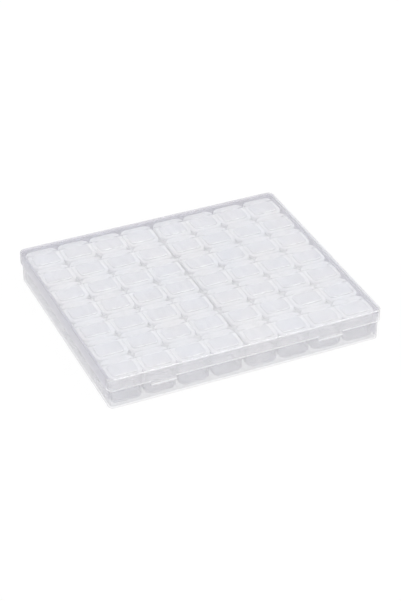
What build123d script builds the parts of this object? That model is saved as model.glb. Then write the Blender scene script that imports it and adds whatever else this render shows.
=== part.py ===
from build123d import *
import os

# Bead organizer: a flat case with a hinged lid that holds strips of small cups, each cup with
# its own hinged lid. Millimetres. +X runs along the case's long side, +Y to its back, where the
# hinges are, and +Z up. The origin is the centre of the cell field on the case's underside.

# Layout
ROWS = 7                      # strips from front to back
CELLS_PER_STRIP = 4           # cups in one strip
HALVES = (-1, 1)              # left and right stack of strips
CELL_GAP = 0.76               # between the rims of two cups in one strip
STRIP_GAP = 0.54              # between the rims of two strips, front to back
CENTRE_GAP = 2.14             # between the left and the right strips
END_PLAY = 0.85               # between the outer rims and the case's end walls
FRONT_PLAY = 0.48             # between the outer rims and the case's front and back walls

# Cup
CUP_LENGTH = 23.6             # outside, X
CUP_DEPTH = 23.6              # outside, Y
CUP_HEIGHT = 20.7             # underside to rim top
CUP_WALL = 0.9
CUP_FLOOR = 1.0
CUP_CORNER = 5.0              # upright corner radius, outside
CUP_HEEL = 3.2                # radius where the wall meets the underside, outside
RIM_OVERHANG = 0.6            # the rim stands out from the cup wall by this
RIM_THICKNESS = 1.0
WEB_DEPTH = 14.0              # the bridge between two cups, Y
WEB_HEIGHT = 3.4              # the bridge, down from the rim top
BAND_INSET = 0.3              # fixed rear band, in from the rim's edge

# Cell lid
LID_SEAT = 0.05               # between the rim top and the lid plate
PLATE_THICKNESS = 0.9
PLATE_INSET = 0.2             # lid plate, in from the rim's edge
PANEL_RISE = 0.85             # raised panel above the plate
PANEL_SIDE_INSET = 2.4        # panel, in from the plate's sides
PANEL_FRONT_INSET = 3.2       # panel, in from the plate's front
PANEL_REAR_INSET = 0.6        # panel, in from the plate's rear edge
PANEL_CORNER = 2.6
PANEL_ROUND = 0.45            # round on the panel's top edge
PLUG_CLEARANCE = 0.2          # between the plug ring and the cup's mouth
PLUG_DEPTH = 1.2
PLUG_WALL = 0.8
TAB_WIDTH = 10.0              # thumb tab at the lid's front
TAB_THICKNESS = 0.6
TAB_DROP = 2.0                # thumb tab, down from the plate's underside
TAB_CLEARANCE = 0.35          # between the thumb tab and the cup wall
TAB_SIDE_CLEARANCE = 0.5      # between the thumb tab and the sides of its notch

# Cell hinge
CELL_AXIS_SETBACK = 6.0       # hinge axis, in front of the cup's rear rim
BEAD_RADIUS = 0.75
BEAD_CLEARANCE = 0.05
BEAD_LENGTH = 14.0
PLATE_SETBACK = 0.9           # plate's rear edge, in front of the hinge axis
GROOVE_LIP = 0.3              # the groove's lower lip, in front of the hinge axis

# Case
BASE_WALL = 1.2
BASE_FLOOR = 1.2
BASE_EDGE = 0.9               # round on the base's underside edge
SKIRT_CLEARANCE = 0.3         # between the base's walls and the lid's skirt
SKIRT_WALL = 1.1
SKIRT_DEPTH = 9.5             # lid's top face to the skirt's edge
LID_TOP = 1.2
LID_CORNER = 5.0              # upright corner radius, outside
LID_EDGE = 0.8                # round on the lid's top edge
HEADROOM = 0.6                # between the raised panels and the case lid
RIM_GAP = 0.1                 # between the base's rim and the case lid

# Latches, one under the second column from each end
LATCH_WIDTH = 19.0
LATCH_DROP = 3.0              # below the skirt's edge
LATCH_LIP = 0.55              # inward lip at the tab's foot
LATCH_LIP_HEIGHT = 0.8
LATCH_PULL = 0.5              # outward finger ledge at the tab's foot
LATCH_SLACK = 0.25            # between the lip and its groove in the base

# Case hinge, one knuckle behind the second column from each end
PIN_RADIUS = 1.0
PIN_CLEARANCE = 0.06
KNUCKLE_RADIUS = 1.9
KNUCKLE_LENGTH = 11.6
EAR_WIDTH = 3.0
EAR_CLEARANCE = 0.2           # between the knuckle's ends and the ears
AXIS_BEHIND = 1.7             # hinge axis, behind the lid's skirt
AXIS_BELOW = 1.5              # hinge axis, below the skirt's edge

# Worked out: cell field
RIM_LENGTH = CUP_LENGTH + 2 * RIM_OVERHANG
RIM_DEPTH = CUP_DEPTH + 2 * RIM_OVERHANG
PITCH_X = RIM_LENGTH + CELL_GAP
PITCH_Y = RIM_DEPTH + STRIP_GAP
STRIP_LENGTH = CELLS_PER_STRIP * PITCH_X - CELL_GAP
STRIP_CENTRE_X = (STRIP_LENGTH + CENTRE_GAP) / 2
COLUMNS = len(HALVES) * CELLS_PER_STRIP
RIM_CORNER = CUP_CORNER + RIM_OVERHANG

# Worked out: case plan
BASE_INNER_LENGTH = 2 * STRIP_LENGTH + CENTRE_GAP + 2 * END_PLAY
BASE_INNER_DEPTH = ROWS * PITCH_Y - STRIP_GAP + 2 * FRONT_PLAY
BASE_LENGTH = BASE_INNER_LENGTH + 2 * BASE_WALL
BASE_DEPTH = BASE_INNER_DEPTH + 2 * BASE_WALL
SKIRT_INNER_LENGTH = BASE_LENGTH + 2 * SKIRT_CLEARANCE
SKIRT_INNER_DEPTH = BASE_DEPTH + 2 * SKIRT_CLEARANCE
CASE_LENGTH = SKIRT_INNER_LENGTH + 2 * SKIRT_WALL
CASE_DEPTH = SKIRT_INNER_DEPTH + 2 * SKIRT_WALL
SKIRT_INNER_CORNER = LID_CORNER - SKIRT_WALL
BASE_CORNER = SKIRT_INNER_CORNER - SKIRT_CLEARANCE
BASE_INNER_CORNER = BASE_CORNER - BASE_WALL

# Worked out: levels
CUP_Z = BASE_FLOOR
RIM_Z = CUP_Z + CUP_HEIGHT
PLATE_Z = RIM_Z + LID_SEAT
PLATE_TOP_Z = PLATE_Z + PLATE_THICKNESS
PANEL_Z = PLATE_TOP_Z + PANEL_RISE
CEILING_Z = PANEL_Z + HEADROOM
CASE_HEIGHT = CEILING_Z + LID_TOP
SKIRT_Z = CASE_HEIGHT - SKIRT_DEPTH
BASE_RIM_Z = CEILING_Z - RIM_GAP

# Worked out: hinge axes
CELL_AXIS_Y = RIM_DEPTH / 2 - CELL_AXIS_SETBACK
CELL_AXIS_Z = PLATE_Z + PLATE_THICKNESS / 2
CASE_AXIS_Y = CASE_DEPTH / 2 + AXIS_BEHIND
CASE_AXIS_Z = SKIRT_Z - AXIS_BELOW


def column_x(column):
    """Centre of a column of cells, counted from 0 at the left."""
    half = column // CELLS_PER_STRIP
    place = column % CELLS_PER_STRIP - (CELLS_PER_STRIP - 1) / 2
    return HALVES[half] * STRIP_CENTRE_X + place * PITCH_X


def row_y(row):
    """Centre of a row of cells, counted from 0 at the front."""
    return (row - (ROWS - 1) / 2) * PITCH_Y


SECOND_COLUMN_X = abs(column_x(1))
LATCH_PLACES = (-SECOND_COLUMN_X, SECOND_COLUMN_X)


def slab(length, depth, low, high, corner):
    """Upright block with round corners, centred in plan, between two levels."""
    outline = RectangleRounded(length, depth, corner)
    return Pos(0, 0, low) * extrude(outline, amount=high - low)


def block(x, y, z):
    """Plain block between three pairs of limits."""
    size = (x[1] - x[0], y[1] - y[0], z[1] - z[0])
    corner = Pos(x[0], y[0], z[0])
    return corner * Box(*size, align=(Align.MIN, Align.MIN, Align.MIN))


def rod(x, y, z, radius):
    """Cylinder along X between two limits, about the line at y, z."""
    middle = Pos((x[0] + x[1]) / 2, y, z)
    return middle * Rot(0, 90, 0) * Cylinder(radius, x[1] - x[0])


def edges_at(shape, level):
    """Edges that lie in the level plane z = level."""
    return [e for e in shape.edges() if all(abs(v.Z - level) < 1e-4 for v in e.vertices())]


def make_cup():
    """One cup with its rim and the fixed band over its rear, centred on the origin in plan."""
    shell = slab(CUP_LENGTH, CUP_DEPTH, CUP_Z, RIM_Z, CUP_CORNER)
    shell = fillet(edges_at(shell, CUP_Z), CUP_HEEL)
    rim = slab(RIM_LENGTH, RIM_DEPTH, RIM_Z - RIM_THICKNESS, RIM_Z, RIM_CORNER)
    hollow_floor = CUP_Z + CUP_FLOOR
    hollow = slab(
        CUP_LENGTH - 2 * CUP_WALL,
        CUP_DEPTH - 2 * CUP_WALL,
        hollow_floor,
        RIM_Z,
        CUP_CORNER - CUP_WALL,
    )
    hollow = fillet(edges_at(hollow, hollow_floor), CUP_HEEL - CUP_WALL)
    notch_half = TAB_WIDTH / 2 + TAB_SIDE_CLEARANCE
    notch = block(
        (-notch_half, notch_half),
        (-RIM_DEPTH / 2 - RIM_OVERHANG, -CUP_DEPTH / 2),
        (RIM_Z - RIM_THICKNESS, RIM_Z),
    )
    return shell + rim - hollow - notch + make_band()


def make_band():
    """Fixed roof over the rear of the cup, with the groove that the lid's bead turns in."""
    band = slab(
        RIM_LENGTH - 2 * BAND_INSET,
        RIM_DEPTH - 2 * BAND_INSET,
        RIM_Z - RIM_THICKNESS,
        PLATE_TOP_Z,
        RIM_CORNER - BAND_INSET,
    )
    groove_radius = BEAD_RADIUS + BEAD_CLEARANCE
    across = (-RIM_LENGTH / 2, RIM_LENGTH / 2)
    front = block(across, (-RIM_DEPTH / 2, CELL_AXIS_Y - GROOVE_LIP), (CUP_Z, PLATE_TOP_Z))
    mouth = block(across, (-RIM_DEPTH / 2, CELL_AXIS_Y + groove_radius), (CELL_AXIS_Z, PLATE_TOP_Z))
    return band - front - mouth - rod(across, CELL_AXIS_Y, CELL_AXIS_Z, groove_radius)


def make_strip():
    """Four cups in a row joined by webs, centred on the origin in plan."""
    cup = make_cup()
    first = -(CELLS_PER_STRIP - 1) / 2 * PITCH_X
    places = [first + i * PITCH_X for i in range(CELLS_PER_STRIP)]
    strip = Pos(places[0], 0, 0) * cup
    for left, right in zip(places, places[1:]):
        web = block(
            (left + CUP_LENGTH / 2 - CUP_WALL / 2, right - CUP_LENGTH / 2 + CUP_WALL / 2),
            (-WEB_DEPTH / 2, WEB_DEPTH / 2),
            (RIM_Z - WEB_HEIGHT, RIM_Z),
        )
        strip = strip + web + Pos(right, 0, 0) * cup
    return strip


def cropped_slab(side_inset, front_inset, rear_y, low, high, corner):
    """Slab inside the rim's outline, cut off straight at its rear."""
    length = RIM_LENGTH - 2 * side_inset
    front_y = -RIM_DEPTH / 2 + front_inset
    whole_depth = 2 * (rear_y - front_y)
    whole = Pos(0, rear_y, 0) * slab(length, whole_depth, low, high, corner)
    return whole & block((-length, length), (front_y, rear_y), (low, high))


def make_cell_lid():
    """Lid of one cup, closed, in place over a cup that is centred on the origin in plan."""
    plate_rear = CELL_AXIS_Y - PLATE_SETBACK
    plate = cropped_slab(
        PLATE_INSET, PLATE_INSET, plate_rear, PLATE_Z, PLATE_TOP_Z, RIM_CORNER - PLATE_INSET
    )

    panel_length = RIM_LENGTH - 2 * (PLATE_INSET + PANEL_SIDE_INSET)
    panel_front = -RIM_DEPTH / 2 + PLATE_INSET + PANEL_FRONT_INSET
    panel_rear = plate_rear - PANEL_REAR_INSET
    panel_centre = Pos(0, (panel_front + panel_rear) / 2, 0)
    panel_depth = panel_rear - panel_front
    panel = slab(panel_length, panel_depth, PLATE_Z, PANEL_Z, PANEL_CORNER)
    panel = panel_centre * fillet(edges_at(panel, PANEL_Z), PANEL_ROUND)
    recess = panel_centre * slab(
        panel_length - 2 * PLATE_THICKNESS,
        panel_depth - 2 * PLATE_THICKNESS,
        PLATE_Z,
        PANEL_Z - PLATE_THICKNESS,
        PANEL_CORNER - PLATE_THICKNESS,
    )

    ring_inset = RIM_OVERHANG + CUP_WALL + PLUG_CLEARANCE
    ring_corner = CUP_CORNER - CUP_WALL - PLUG_CLEARANCE
    ring_foot = PLATE_Z - PLUG_DEPTH
    ring = cropped_slab(ring_inset, ring_inset, panel_rear, ring_foot, PLATE_Z, ring_corner)
    ring_hole = cropped_slab(
        ring_inset + PLUG_WALL,
        ring_inset + PLUG_WALL,
        panel_rear - PLUG_WALL,
        ring_foot,
        PLATE_Z,
        ring_corner - PLUG_WALL,
    )

    tab_rear = -CUP_DEPTH / 2 - TAB_CLEARANCE
    tab = block(
        (-TAB_WIDTH / 2, TAB_WIDTH / 2),
        (tab_rear - TAB_THICKNESS, tab_rear),
        (PLATE_Z - TAB_DROP, PLATE_TOP_Z),
    )

    bead_span = (-BEAD_LENGTH / 2, BEAD_LENGTH / 2)
    bead = rod(bead_span, CELL_AXIS_Y, CELL_AXIS_Z, BEAD_RADIUS)
    neck = block(bead_span, (plate_rear, CELL_AXIS_Y), (PLATE_Z, PLATE_TOP_Z))
    return plate + panel + (ring - ring_hole) + tab + neck + bead - recess


def make_case_base():
    """Open tray with catch grooves at the front and hinge ears with pins at the back."""
    tray = slab(BASE_LENGTH, BASE_DEPTH, 0, BASE_RIM_Z, BASE_CORNER)
    tray = fillet(edges_at(tray, 0), BASE_EDGE)
    tray -= slab(
        BASE_INNER_LENGTH, BASE_INNER_DEPTH, BASE_FLOOR, BASE_RIM_Z, BASE_INNER_CORNER
    )

    front = -BASE_DEPTH / 2
    groove_depth = LATCH_LIP - SKIRT_CLEARANCE + LATCH_SLACK
    foot = SKIRT_Z - LATCH_DROP
    for x in LATCH_PLACES:
        half = LATCH_WIDTH / 2 + LATCH_SLACK
        tray -= block(
            (x - half, x + half),
            (front - SKIRT_WALL, front + groove_depth),
            (foot - LATCH_SLACK, foot + LATCH_LIP_HEIGHT + LATCH_SLACK),
        )

    ear_start = KNUCKLE_LENGTH / 2 + EAR_CLEARANCE
    ear_end = ear_start + EAR_WIDTH
    root = BASE_DEPTH / 2 - BASE_WALL / 2
    for x in LATCH_PLACES:
        for side in (-1, 1):
            span = sorted((x + side * ear_start, x + side * ear_end))
            tray += rod(span, CASE_AXIS_Y, CASE_AXIS_Z, KNUCKLE_RADIUS)
            tray += block(span, (root, CASE_AXIS_Y), (CASE_AXIS_Z - KNUCKLE_RADIUS, CASE_AXIS_Z))
        tray += rod((x - ear_end, x + ear_end), CASE_AXIS_Y, CASE_AXIS_Z, PIN_RADIUS)
    return tray


def make_case_lid():
    """Shallow lid with a skirt, latch tabs at the front and hinge knuckles at the back."""
    cover = slab(CASE_LENGTH, CASE_DEPTH, SKIRT_Z, CASE_HEIGHT, LID_CORNER)
    cover = fillet(edges_at(cover, CASE_HEIGHT), LID_EDGE)
    cover -= slab(SKIRT_INNER_LENGTH, SKIRT_INNER_DEPTH, SKIRT_Z, CEILING_Z, SKIRT_INNER_CORNER)

    outside = -CASE_DEPTH / 2
    inside = -SKIRT_INNER_DEPTH / 2
    foot = SKIRT_Z - LATCH_DROP
    for x in LATCH_PLACES:
        span = (x - LATCH_WIDTH / 2, x + LATCH_WIDTH / 2)
        cover += block(span, (outside, inside), (foot, SKIRT_Z))
        cover += block(span, (outside - LATCH_PULL, inside + LATCH_LIP), (foot, foot + LATCH_LIP_HEIGHT))

    back = CASE_DEPTH / 2
    bore = PIN_RADIUS + PIN_CLEARANCE
    for x in LATCH_PLACES:
        span = (x - KNUCKLE_LENGTH / 2, x + KNUCKLE_LENGTH / 2)
        arm_top = SKIRT_Z + KNUCKLE_RADIUS
        cover += block(span, (back - SKIRT_WALL / 2, CASE_AXIS_Y), (CASE_AXIS_Z, arm_top))
        cover += rod(span, CASE_AXIS_Y, CASE_AXIS_Z, KNUCKLE_RADIUS)
        cover -= rod(span, CASE_AXIS_Y, CASE_AXIS_Z, bore)
    return cover


def save(shape, name):
    """Write one node's STEP file."""
    shape.label = name
    export_step(shape, f"parts/{name}.step")


os.makedirs("parts", exist_ok=True)
save(make_case_base(), "case_base")
save(make_case_lid(), "case_lid")

strip = make_strip()
for half, name in zip(HALVES, ("strips_left", "strips_right")):
    stack = [Pos(half * STRIP_CENTRE_X, row_y(row), 0) * strip for row in range(ROWS)]
    save(Compound(children=stack), name)

cell_lid = make_cell_lid()
for row in range(ROWS):
    for column in range(COLUMNS):
        placed = Pos(column_x(column), row_y(row), 0) * cell_lid
        save(placed, f"cell_lid_r{row + 1}c{column + 1}")

print(f"case {CASE_LENGTH:.2f} x {CASE_DEPTH:.2f} x {CASE_HEIGHT:.2f} mm")
print(f"case hinge axis y {CASE_AXIS_Y:.3f} z {CASE_AXIS_Z:.3f}")
print(f"cell hinge axis: row centre + {CELL_AXIS_Y:.3f}, z {CELL_AXIS_Z:.3f}")
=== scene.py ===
import math
from dataclasses import dataclass

import bpy
from mathutils import Matrix, Vector

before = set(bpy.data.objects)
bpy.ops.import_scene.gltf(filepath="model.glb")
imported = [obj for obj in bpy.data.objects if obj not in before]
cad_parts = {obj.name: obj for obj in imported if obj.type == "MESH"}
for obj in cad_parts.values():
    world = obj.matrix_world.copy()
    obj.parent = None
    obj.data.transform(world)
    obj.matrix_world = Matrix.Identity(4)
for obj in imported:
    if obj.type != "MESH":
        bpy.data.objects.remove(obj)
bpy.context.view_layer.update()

MM = 0.001
Y = 1
Z = 2

# Camera: where it stands about the case, and how far off the case's middle it aims, in degrees
# and metres
VIEW_AZIMUTH = -24.12
VIEW_ELEVATION = 34.01
VIEW_DISTANCE = 1.336
AIM_HEIGHT = 0.012
AIM_RIGHT = 0.0034
AIM_UP = -0.0046
FARTHEST_SEEN = 20.0
SENSOR = 36.0              # height of the sensor, in millimetres
FRAME_HEIGHT_PX = 601      # height of the picture, and the focal length, in pixels
FOCAL_PX = 1807.0

# Studio, in metres and watts
WHITE = (1.0, 1.0, 1.0, 1.0)
FLOOR_REACH = 6.0
FLOOR_COLOUR = (0.93, 0.93, 0.93, 1.0)
FLOOR_SHADOW = 0.04        # share of the floor's shading that is seen: the rest is plain white
DOME_TILT = 37.0           # how far the dome's brightest part leans forward, in degrees
DOME_LOW = 0.8             # strength of the dome a quarter turn from there and beyond
DOME_HIGH = 1.75           # strength at the brightest part
GLINT_PLACE = (0.44, -0.13, 1.15)
GLINT_SIDES = (0.9, 0.3)
GLINT_POWER = 4.0
CLEAR_LAYERS = 32          # see-through faces that a ray may pass
SCATTER_STEPS = 12         # times that light may be thrown on from face to face

# Where a face's plastic changes
WALL_ZONE = 3.1 * MM         # how far in from the base's front, or rear, the case's walls reach
WALL_SOFTNESS = 1.0 * MM     # how far the change spreads to each side, over a wall
LEVEL_SOFTNESS = 0.05 * MM   # and over a level
LEVEL_SLOPE = (0.3, 0.7)     # vertical share of the normal of an upright face, and of a level one
EDGE_SLOPE = (-0.05, -0.25)  # a normal's Y times its Z, where a forward edge starts and is full

# How the plastic takes light
PLASTIC_INDEX = 1.49       # a slanting look bends in the plastic, so its way gets little longer
SCHLICK_POWER = 5.0        # how late the mirroring grows towards a grazing look
SCATTER_THROUGH = 0.4      # share of the haze that is passed on, not thrown back

# Tints, in linear red, green and blue
TOP_TINT = (0.9, 0.9, 0.935)         # the case lid's top plate
SKIRT_TINT = (0.985, 0.983, 1.0)     # the front of its skirt
SIDE_SHADE_TINT = (0.74, 0.73, 0.785)      # the sides of the case: painted shade, darker than the front skirt
DEEPEST_SHADE_TINT = (0.64, 0.628, 0.7)       # painted shade, darkest of all: the rear of the case, and the base's front and upper rim
RIM_TINT = (0.965, 0.968, 0.982)     # the cups' rims, and upright faces of cups and cell lids
PANEL_SHADE_TINT = (0.86, 0.86, 0.897)     # the raised panels of the cell lids: painted shade for the darker cups seen through them
BRIGHT_TINT = (0.99, 0.99, 1.0)      # level faces low down in every piece
COOL_CAST = (0.984, 0.992, 1.0, 1.0)  # the clouds in the plastic run from this cast
WARM_CAST = (1.0, 0.995, 0.988, 1.0)  # to this one


@dataclass
class Pattern:
    """Noise: its waves in a metre, its octaves, and how rough the finer ones make it."""

    scale: float
    octaves: float
    roughness: float


@dataclass
class Skin:
    """Colour of a skin, and its haze: the share of light that it stops, seen square on."""

    tint: tuple
    haze: float


@dataclass
class Polish:
    """Roughness of a skin, and the share of light that it and its forward edges mirror."""

    roughness: float
    mirrored: float
    on_edges: float


@dataclass
class Plastic:
    """A moulded plastic, and how it changes over a piece.

    The top part of the piece, which is top_depth deep, has the bright polish, and the rest has
    the dull one. Level faces have the high skin in the top part and the low skin elsewhere.
    walls are the skins of upright faces at the case's front, between, and at its rear; on the
    case, the skins darker than the plain tints are painted shade. grain is the depth of the
    moulded texture. Both depths are in metres.
    """

    name: str
    top_depth: float
    low: Skin
    high: Skin
    walls: tuple
    dull: Polish
    bright: Polish
    grain: float


@dataclass
class Zones:
    """Outputs from 0 to 1 that tell where a face is and how it slopes."""

    in_top: bpy.types.NodeSocket
    past_front: bpy.types.NodeSocket
    in_rear: bpy.types.NodeSocket
    is_level: bpy.types.NodeSocket
    on_edge: bpy.types.NodeSocket


CLOUDS = Pattern(38.0, 3.0, 0.5)
FLOW = Pattern(160.0, 4.0, 0.62)
DUST = Pattern(2600.0, 2.0, 0.5)
FLOW_STRETCH = (1.0, 0.22, 1.0)      # flow marks are long from front to rear
NOISE_SPAN = (0.3, 0.7)              # nearly all of a noise lies between these
HAZE_STREAKS = (0.95, 1.06)          # factors that the flow marks put on the haze
SATIN_STREAKS = (0.8, 1.25)          # and on the roughness
BUMP_STRENGTH = 0.5

CASE_LID = Plastic(
    "clear_lid_plastic",
    top_depth=5.5 * MM,
    low=Skin(BRIGHT_TINT, 0.94),
    high=Skin(TOP_TINT, 0.16),
    # the side and rear walls' darker tints are painted shade
    walls=(Skin(SKIRT_TINT, 0.125), Skin(SIDE_SHADE_TINT, 0.42), Skin(DEEPEST_SHADE_TINT, 0.56)),
    dull=Polish(0.2, 0.04, 0.04),
    bright=Polish(0.2, 0.02, 0.45),
    grain=1e-6,
)
CASE_BASE = Plastic(
    "clear_base_plastic",
    top_depth=4.2 * MM,
    low=Skin(BRIGHT_TINT, 0.15),
    # the darker tints of the base's upper rim and walls are painted shade
    high=Skin(DEEPEST_SHADE_TINT, 0.53),
    walls=(Skin(DEEPEST_SHADE_TINT, 0.14), Skin(SIDE_SHADE_TINT, 0.3), Skin(DEEPEST_SHADE_TINT, 0.23)),
    dull=Polish(0.2, 0.04, 0.04),
    bright=Polish(0.2, 0.04, 0.04),
    grain=1e-6,
)
CUPS = Plastic(
    "milky_cup_plastic",
    top_depth=2.85 * MM,
    low=Skin(BRIGHT_TINT, 0.41),
    high=Skin(RIM_TINT, 0.64),
    walls=(Skin(RIM_TINT, 0.085),) * 3,
    dull=Polish(0.3, 0.04, 0.04),
    bright=Polish(0.3, 0.04, 0.04),
    grain=2e-6,
)
CELL_LIDS = Plastic(
    "milky_lid_plastic",
    top_depth=0.5 * MM,
    low=Skin(BRIGHT_TINT, 0.59),
    # the panels' darker tint is painted shade
    high=Skin(PANEL_SHADE_TINT, 0.43),
    walls=(Skin(RIM_TINT, 0.12),) * 3,
    dull=Polish(0.3, 0.03, 0.03),
    bright=Polish(0.25, 0.03, 0.95),
    grain=1e-6,
)


class Graph:
    """A short way to build one node tree."""

    # The sockets of a Mix node that it uses for colours
    MIX_FACTOR = 0
    MIX_FIRST = 6
    MIX_SECOND = 7
    MIX_RESULT = 2

    def __init__(self, tree):
        self.tree = tree
        tree.nodes.clear()

    def node(self, kind, settings=None, **inputs):
        """Adds a node. Inputs are named as on the node, with _ for a space."""
        made = self.tree.nodes.new(kind)
        for key, value in (settings or {}).items():
            setattr(made, key, value)
        for key, value in inputs.items():
            self.feed(made.inputs[key.replace("_", " ")], value)
        return made

    def feed(self, socket, value):
        """Links an output to a socket, or sets the socket's own value."""
        if isinstance(value, bpy.types.NodeSocket):
            self.tree.links.new(value, socket)
        else:
            socket.default_value = value

    def noise(self, place, pattern):
        """A pattern over places, mostly within NOISE_SPAN."""
        made = self.node(
            "ShaderNodeTexNoise",
            Vector=place,
            Scale=pattern.scale,
            Detail=pattern.octaves,
            Roughness=pattern.roughness,
        )
        return made.outputs["Fac"]

    def spread(self, value, low, high, span=(0.0, 1.0)):
        """Takes a value's span to low..high, and stops there."""
        start, stop = span
        made = self.node(
            "ShaderNodeMapRange",
            Value=value,
            From_Min=start,
            From_Max=stop,
            To_Min=low,
            To_Max=high,
        )
        return made.outputs["Result"]

    def past(self, value, line, softness):
        """0 under a line and 1 over it."""
        return self.spread(value, 0.0, 1.0, (line - softness, line + softness))

    def blend(self, factor, first, second, way="MIX"):
        """Colour between two colours, or what another way makes of them."""
        made = self.node("ShaderNodeMix", {"data_type": "RGBA", "blend_type": way})
        self.feed(made.inputs[self.MIX_FACTOR], factor)
        self.feed(made.inputs[self.MIX_FIRST], first)
        self.feed(made.inputs[self.MIX_SECOND], second)
        return made.outputs[self.MIX_RESULT]

    def shaders(self, factor, first, second):
        """A mix of two shader nodes."""
        made = self.node("ShaderNodeMixShader", Fac=factor)
        self.feed(made.inputs[1], first.outputs[0])
        self.feed(made.inputs[2], second.outputs[0])
        return made

    def math(self, operation, first, second):
        """One arithmetic step."""
        made = self.node("ShaderNodeMath", {"operation": operation})
        self.feed(made.inputs[0], first)
        self.feed(made.inputs[1], second)
        return made.outputs[0]


def solid(tint):
    """A tint with full alpha."""
    return tint + (1.0,)


def reach(node, axis):
    """The lowest and the highest place of a node of the frame along an axis."""
    places = [corner[axis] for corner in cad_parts[node].bound_box]
    return min(places), max(places)


def find_zones(g, where, level):
    """Zones of a piece whose top part starts at a level of the frame."""
    place = g.node("ShaderNodeSeparateXYZ", Vector=where["Object"]).outputs
    slope = g.node("ShaderNodeSeparateXYZ", Vector=where["Normal"]).outputs
    front_line = reach("case_base", Y)[0] + WALL_ZONE
    vertical = g.math("ABSOLUTE", slope["Z"], 0.0)
    tilt = g.math("MULTIPLY", slope["Y"], slope["Z"])
    return Zones(
        in_top=g.past(place["Z"], level, LEVEL_SOFTNESS),
        past_front=g.past(place["Y"], front_line, WALL_SOFTNESS),
        in_rear=g.past(place["Y"], -front_line, WALL_SOFTNESS),
        is_level=g.spread(vertical, 0.0, 1.0, LEVEL_SLOPE),
        on_edge=g.spread(tilt, 0.0, 1.0, EDGE_SLOPE),
    )


def by_zone(zones, mix, low, high, front, side, rear):
    """Chooses between the values of a plastic's five skins. mix goes between two of them."""
    level = mix(zones.in_top, low, high)
    upright = mix(zones.in_rear, mix(zones.past_front, front, side), rear)
    return mix(zones.is_level, upright, level)


def hidden_share(g, facing, haze):
    """Share of light that the haze stops, which grows with the bent way inside the plastic."""
    cosine = g.math("SUBTRACT", 1.0, facing)
    sine_squared = g.math("SUBTRACT", 1.0, g.math("MULTIPLY", cosine, cosine))
    bent_squared = g.math("DIVIDE", sine_squared, PLASTIC_INDEX ** 2)
    inside = g.math("POWER", g.math("SUBTRACT", 1.0, bent_squared), 0.5)
    passed = g.math("POWER", g.math("SUBTRACT", 1.0, haze), g.math("DIVIDE", 1.0, inside))
    return g.math("SUBTRACT", 1.0, passed)


def mirrored_share(g, facing, zones, dull, bright):
    """Share of light that the skin mirrors: more on forward edges, and all at a grazing look."""
    on_faces = g.spread(zones.in_top, dull.mirrored, bright.mirrored)
    on_edges = g.spread(zones.in_top, dull.on_edges, bright.on_edges)
    square_on = g.spread(zones.on_edge, on_faces, on_edges)
    return g.spread(g.math("POWER", facing, SCHLICK_POWER), square_on, 1.0)


def moulded(plastic, model):
    """Makes a plastic's material: a cloudy see-through body with flow marks and a satin grain.

    model is the name of a node that is made of it.
    """
    material = bpy.data.materials.new(plastic.name)
    material.use_nodes = True
    g = Graph(material.node_tree)
    where = g.node("ShaderNodeTexCoord").outputs
    zones = find_zones(g, where, reach(model, Z)[1] - plastic.top_depth)
    skins = (plastic.low, plastic.high) + plastic.walls

    clouds = g.noise(where["Object"], CLOUDS)
    dust = g.noise(where["Object"], DUST)
    stretched = g.node("ShaderNodeMapping", Vector=where["Object"], Scale=FLOW_STRETCH)
    flow = g.noise(stretched.outputs[0], FLOW)
    relief = g.math("ADD", dust, flow)
    grain = g.node(
        "ShaderNodeBump", Strength=BUMP_STRENGTH, Distance=plastic.grain, Height=relief
    ).outputs[0]

    # painted shade: the case's side and rear skins and the cell lids' panels take darker tints
    # than the plain plastic
    tint = by_zone(zones, g.blend, *[solid(skin.tint) for skin in skins])
    cast = g.blend(g.spread(clouds, 0.0, 1.0, NOISE_SPAN), COOL_CAST, WARM_CAST)
    colour = g.blend(1.0, tint, cast, "MULTIPLY")
    haze = by_zone(zones, g.spread, *[skin.haze for skin in skins])
    haze = g.math("MULTIPLY", haze, g.spread(flow, *HAZE_STREAKS, NOISE_SPAN))
    roughness = g.spread(zones.in_top, plastic.dull.roughness, plastic.bright.roughness)
    roughness = g.math("MULTIPLY", roughness, g.spread(flow, *SATIN_STREAKS, NOISE_SPAN))
    facing = g.node("ShaderNodeLayerWeight").outputs["Facing"]
    hidden = hidden_share(g, facing, haze)
    mirrored = mirrored_share(g, facing, zones, plastic.dull, plastic.bright)

    thrown = g.node("ShaderNodeBsdfDiffuse", Color=colour, Normal=grain)
    handed_on = g.node("ShaderNodeBsdfTranslucent", Color=colour, Normal=grain)
    clear = g.node("ShaderNodeBsdfTransparent")
    mirror = g.node("ShaderNodeBsdfAnisotropic", Roughness=roughness, Normal=grain)
    body = g.shaders(hidden, clear, g.shaders(SCATTER_THROUGH, thrown, handed_on))
    skin = g.shaders(mirrored, body, mirror)
    g.feed(g.node("ShaderNodeOutputMaterial").inputs["Surface"], skin.outputs[0])
    return material


def dress():
    """Gives each node of the frame its plastic."""
    case_lid = moulded(CASE_LID, "case_lid")
    case_base = moulded(CASE_BASE, "case_base")
    cups = moulded(CUPS, "strips_left")
    cell_lids = moulded(CELL_LIDS, "cell_lid_r1c1")
    chosen = {
        "case_lid": case_lid,
        "case_base": case_base,
        "strips_left": cups,
        "strips_right": cups,
    }
    for name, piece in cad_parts.items():
        material = chosen.get(name, cell_lids)
        for slot in piece.material_slots:
            slot.material = material


def unscattered(g):
    """0 for a ray that a matt surface threw back, and 1 for any other."""
    path = g.node("ShaderNodeLightPath").outputs
    seen = g.math("MAXIMUM", path["Is Camera Ray"], path["Is Glossy Ray"])
    return g.math("MAXIMUM", seen, path["Is Transmission Ray"])


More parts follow.
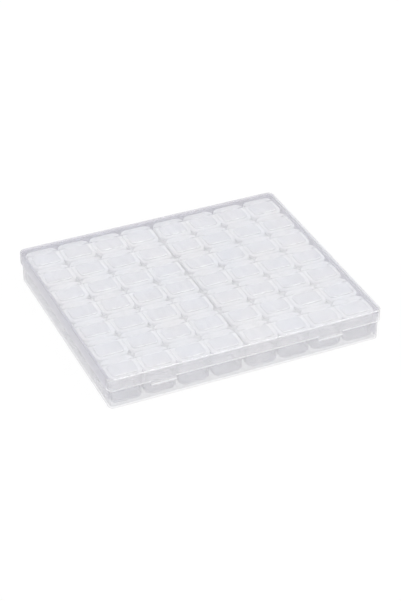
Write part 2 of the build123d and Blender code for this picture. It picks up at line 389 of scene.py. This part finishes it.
def set_world():
    """A dome of soft light, strongest above the front, that looks plain white behind the case."""
    world = bpy.data.worlds.new("studio")
    bpy.context.scene.world = world
    world.use_nodes = True
    g = Graph(world.node_tree)
    towards = g.node("ShaderNodeTexCoord").outputs["Generated"]
    lean = (-math.radians(DOME_TILT), 0, 0)
    leaning = g.node("ShaderNodeMapping", Vector=towards, Rotation=lean).outputs[0]
    height = g.node("ShaderNodeSeparateXYZ", Vector=leaning).outputs["Z"]
    strength = g.spread(height, DOME_LOW, DOME_HIGH)
    light = g.node("ShaderNodeBackground", Color=WHITE, Strength=strength)
    white = g.node("ShaderNodeBackground", Color=WHITE)
    out = g.node("ShaderNodeOutputWorld")
    g.feed(out.inputs["Surface"], g.shaders(unscattered(g), light, white).outputs[0])


def set_floor():
    """Pale floor under the case that keeps a soft shadow."""
    half = FLOOR_REACH / 2
    corners = [(-half, -half, 0), (half, -half, 0), (half, half, 0), (-half, half, 0)]
    mesh = bpy.data.meshes.new("studio_floor")
    mesh.from_pydata(corners, [], [(0, 1, 2, 3)])
    floor = bpy.data.objects.new("studio_floor", mesh)
    bpy.context.collection.objects.link(floor)
    material = bpy.data.materials.new("studio_floor")
    material.use_nodes = True
    g = Graph(material.node_tree)
    matt = g.node("ShaderNodeBsdfDiffuse", Color=FLOOR_COLOUR)
    white = g.node("ShaderNodeEmission", Color=WHITE)
    share = g.math("MULTIPLY", unscattered(g), 1 - FLOOR_SHADOW)
    out = g.node("ShaderNodeOutputMaterial")
    g.feed(out.inputs["Surface"], g.shaders(share, matt, white).outputs[0])
    mesh.materials.append(material)


def set_glint():
    """A weak strip lamp that only gloss shows: it draws a line along each forward edge."""
    data = bpy.data.lights.new("glint", "AREA")
    data.shape = "RECTANGLE"
    data.size, data.size_y = GLINT_SIDES
    data.energy = GLINT_POWER
    lamp = bpy.data.objects.new("glint", data)
    bpy.context.collection.objects.link(lamp)
    back = Vector(GLINT_PLACE).normalized()
    depth = back.cross(Vector((1, 0, 0))).normalized()
    turn = Matrix((depth.cross(back), depth, back)).transposed()
    lamp.matrix_world = Matrix.Translation(GLINT_PLACE) @ turn.to_4x4()
    lamp.visible_diffuse = False
    lamp.visible_transmission = False


def set_camera():
    """The main view, from the front left and above."""
    azimuth = math.radians(VIEW_AZIMUTH)
    elevation = math.radians(VIEW_ELEVATION)
    flat = math.cos(elevation)
    back = Vector((math.sin(azimuth) * flat, -math.cos(azimuth) * flat, math.sin(elevation)))
    right = (-back).cross(Vector((0, 0, 1))).normalized()
    up = right.cross(-back)
    target = Vector((0, 0, AIM_HEIGHT)) + right * AIM_RIGHT + up * AIM_UP
    data = bpy.data.cameras.new("view")
    data.sensor_fit = "VERTICAL"
    data.sensor_height = SENSOR
    data.lens = FOCAL_PX * SENSOR / FRAME_HEIGHT_PX
    data.clip_end = FARTHEST_SEEN
    camera = bpy.data.objects.new("view", data)
    bpy.context.collection.objects.link(camera)
    camera.location = target + back * VIEW_DISTANCE
    camera.rotation_euler = (-back).to_track_quat("-Z", "Y").to_euler()
    bpy.context.scene.camera = camera


bpy.context.scene.view_settings.view_transform = "Standard"
bpy.context.scene.cycles.transparent_max_bounces = CLEAR_LAYERS
bpy.context.scene.cycles.diffuse_bounces = SCATTER_STEPS
set_camera()
set_world()
set_floor()
set_glint()
dress()
